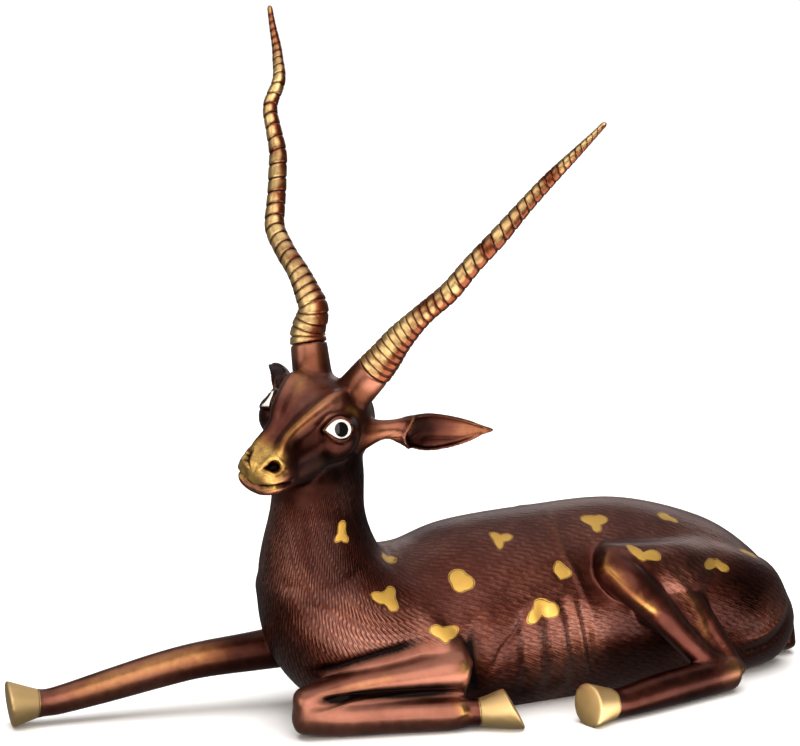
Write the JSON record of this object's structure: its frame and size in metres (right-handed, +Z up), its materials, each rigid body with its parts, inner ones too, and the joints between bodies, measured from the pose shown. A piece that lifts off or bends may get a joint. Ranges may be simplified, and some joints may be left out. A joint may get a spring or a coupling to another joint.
{
  "type": "antelope statue",
  "caption": "Reclining cast brass antelope statue with long ringed horns, turned head, spotted chased coat and one outstretched foreleg, resting on its flat belly.",
  "frame": {"origin": "on the flat underside, below the middle of the trunk", "axes": "+Z up from the floor; the animal faces -X, and its left flank, on which the head turns, faces -Y"},
  "size_m": [0.8149, 0.3722, 0.6735],
  "materials": {
    "patinated_brass": "cast and chased brass with a glossy red-brown patina, polished gold on the spots, muzzle and hooves",
    "horn_brass": "cast brass rings polished on their crests, with dark patina left in the grooves"
  },
  "bodies": {
    "root": {"animal": "patinated_brass", "left_horn": "horn_brass", "right_horn": "horn_brass"}
  },
  "joints": []
}
